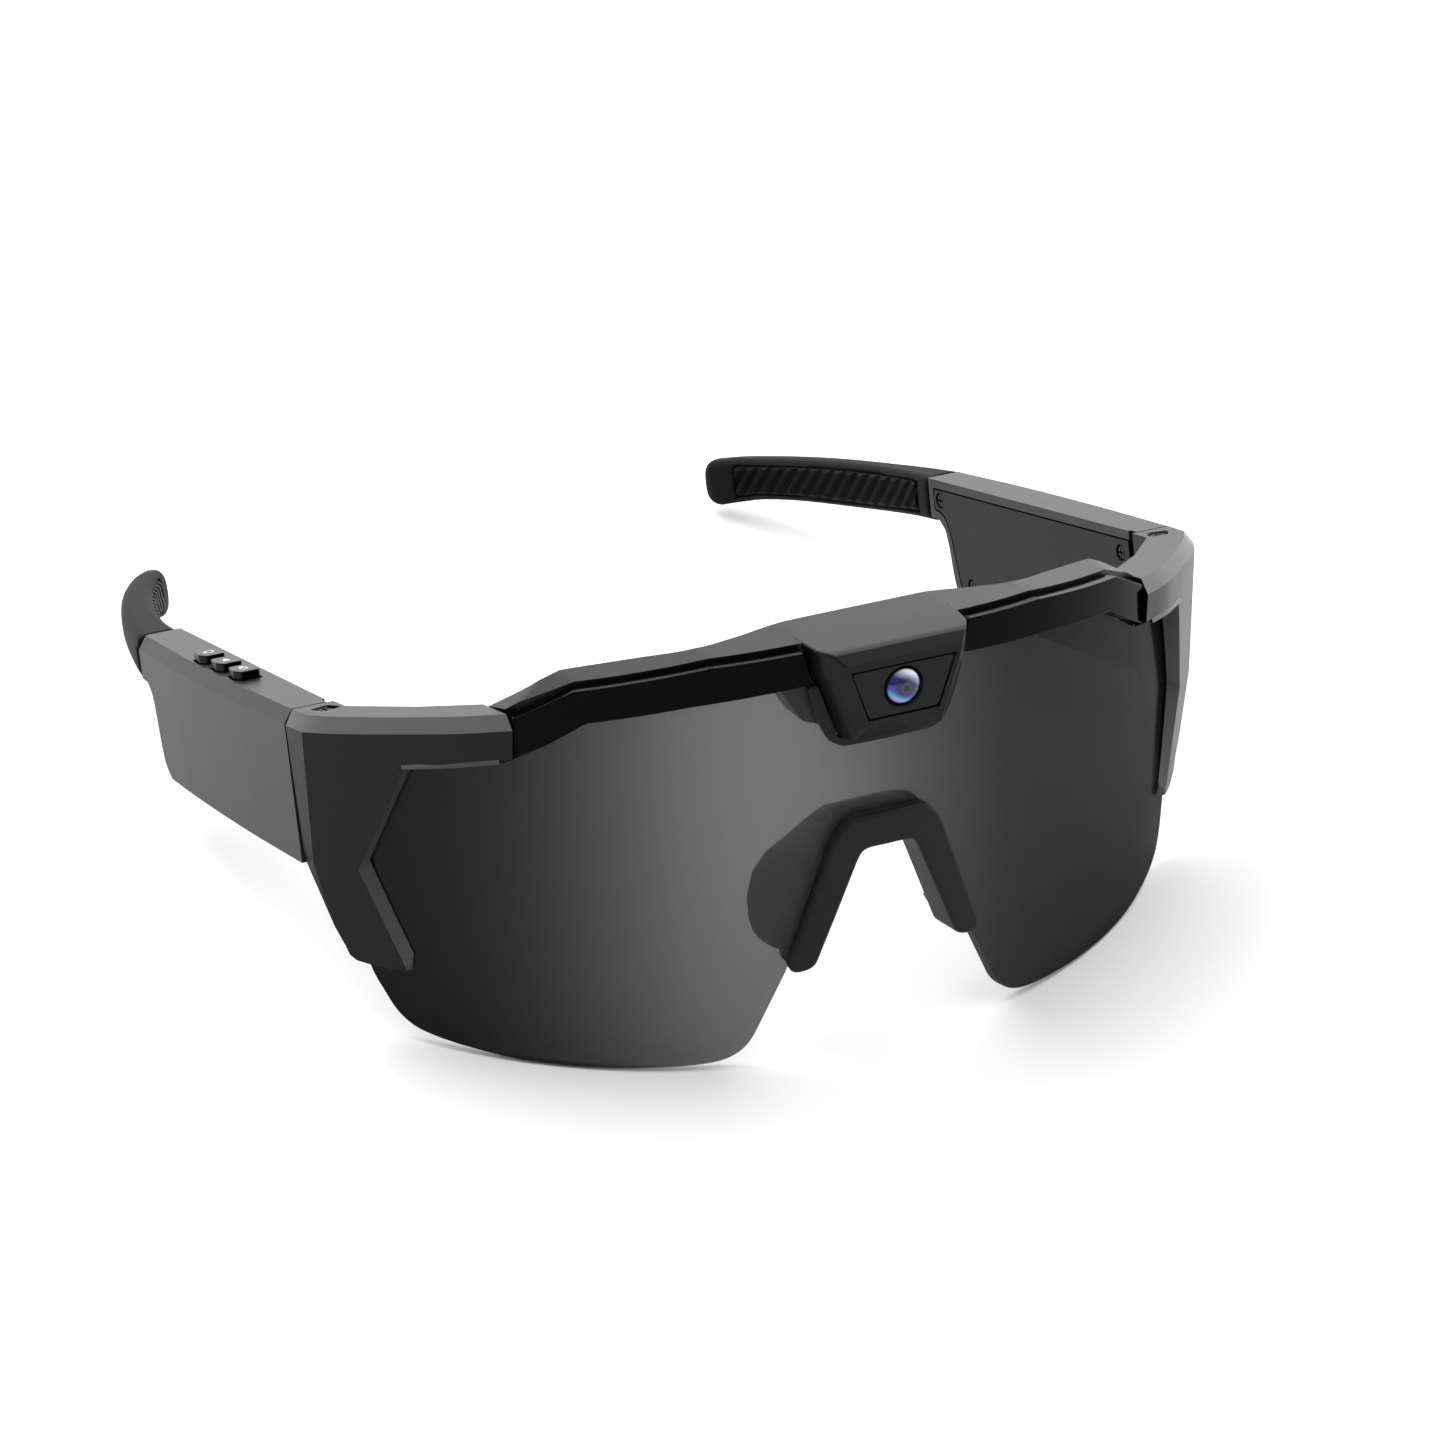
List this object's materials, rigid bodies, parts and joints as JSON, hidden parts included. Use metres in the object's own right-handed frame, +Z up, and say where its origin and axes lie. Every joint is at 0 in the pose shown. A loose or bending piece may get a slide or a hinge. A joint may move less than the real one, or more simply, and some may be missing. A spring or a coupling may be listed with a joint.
{
  "type": "camera sunglasses",
  "caption": "Wrap-round sports sunglasses with a single mirrored shield lens, a camera in the brow, folding temples that hold the electronics, and push buttons on the right temple.",
  "frame": {"origin": "centre of the bounding box at table level, with the temples open and the glasses resting on the lens lobes and the temple tips", "axes": "+X to the wearer's left, +Y back along the temples, +Z up from the table"},
  "size_m": [0.1572, 0.1762, 0.0706],
  "materials": {
    "smoke_lens": "dark grey mirrored polycarbonate, see-through from behind",
    "matt_shell": "dark grey matt moulded nylon",
    "gloss_trim": "polished black",
    "button_black": "polished black with light printed icons",
    "soft_rubber": "matt over-moulded elastomer",
    "coated_glass": "multi-coated lens with a violet and blue flare",
    "hinge_steel": "stainless sheet and wire",
    "black_screw": "black oxide",
    "circuit_board": "green solder mask",
    "chip_black": "black moulding compound",
    "battery_foil": "laminated foil pouch",
    "flex_cable": "amber polyimide film"
  },
  "bodies": {
    "front": {"shield_lens": "smoke_lens", "brow_frame": "matt_shell", "brow_trim_left": "gloss_trim", "brow_trim_right": "gloss_trim", "camera_gasket": "soft_rubber", "camera_window": "matt_shell", "camera_barrel": "gloss_trim", "camera_lens": "coated_glass", "image_sensor": "chip_black", "sensor_board": "circuit_board", "ribbon_cable": "flex_cable", "nose_rim": "soft_rubber", "nose_pad": "soft_rubber", "side_shield_left": "matt_shell", "hinge_leaf_front_left": "hinge_steel", "hinge_pin_left": "hinge_steel", "shield_screw_left": "black_screw", "side_shield_right": "matt_shell", "hinge_leaf_front_right": "hinge_steel", "hinge_pin_right": "hinge_steel", "shield_screw_right": "black_screw"},
    "left_temple": {"temple_housing_left": "matt_shell", "temple_cover_left": "matt_shell", "temple_tip_left": "soft_rubber", "tip_core_left": "hinge_steel", "tip_grip_left": "soft_rubber", "hinge_leaf_temple_left": "hinge_steel", "battery_left": "battery_foil", "cover_screw_1_left": "black_screw", "cover_screw_2_left": "black_screw", "cover_screw_3_left": "black_screw", "card_slot": "hinge_steel", "memory_card": "chip_black"},
    "right_temple": {"temple_housing_right": "matt_shell", "temple_cover_right": "matt_shell", "temple_tip_right": "soft_rubber", "tip_core_right": "hinge_steel", "tip_grip_right": "soft_rubber", "hinge_leaf_temple_right": "hinge_steel", "battery_right": "battery_foil", "cover_screw_1_right": "black_screw", "cover_screw_2_right": "black_screw", "cover_screw_3_right": "black_screw", "charge_socket": "hinge_steel", "main_board": "circuit_board", "processor": "chip_black", "button_board": "circuit_board", "switch_1": "chip_black", "switch_2": "chip_black", "switch_3": "chip_black"},
    "first_button": {"button_1": "button_black"},
    "second_button": {"button_2": "button_black"},
    "third_button": {"button_3": "button_black"}
  },
  "joints": [
    {"name": "left_temple_hinge", "type": "hinge", "parent": "front", "child": "left_temple", "pos_m": [0.071, -0.03905, 0.03814], "axis": [0, 0.3107, 0.9505], "range_deg": [0, 88]},
    {"name": "right_temple_hinge", "type": "hinge", "parent": "front", "child": "right_temple", "pos_m": [-0.071, -0.03905, 0.03814], "axis": [0, -0.3107, -0.9505], "range_deg": [0, 75]},
    {"name": "first_button_press", "type": "slide", "parent": "right_temple", "child": "first_button", "axis": [0, -0.3107, -0.9505], "range_m": [0, 0.0004], "stiffness_N_per_m": 500},
    {"name": "second_button_press", "type": "slide", "parent": "right_temple", "child": "second_button", "axis": [0, -0.3107, -0.9505], "range_m": [0, 0.0004], "stiffness_N_per_m": 500},
    {"name": "third_button_press", "type": "slide", "parent": "right_temple", "child": "third_button", "axis": [0, -0.3107, -0.9505], "range_m": [0, 0.0004], "stiffness_N_per_m": 500}
  ]
}
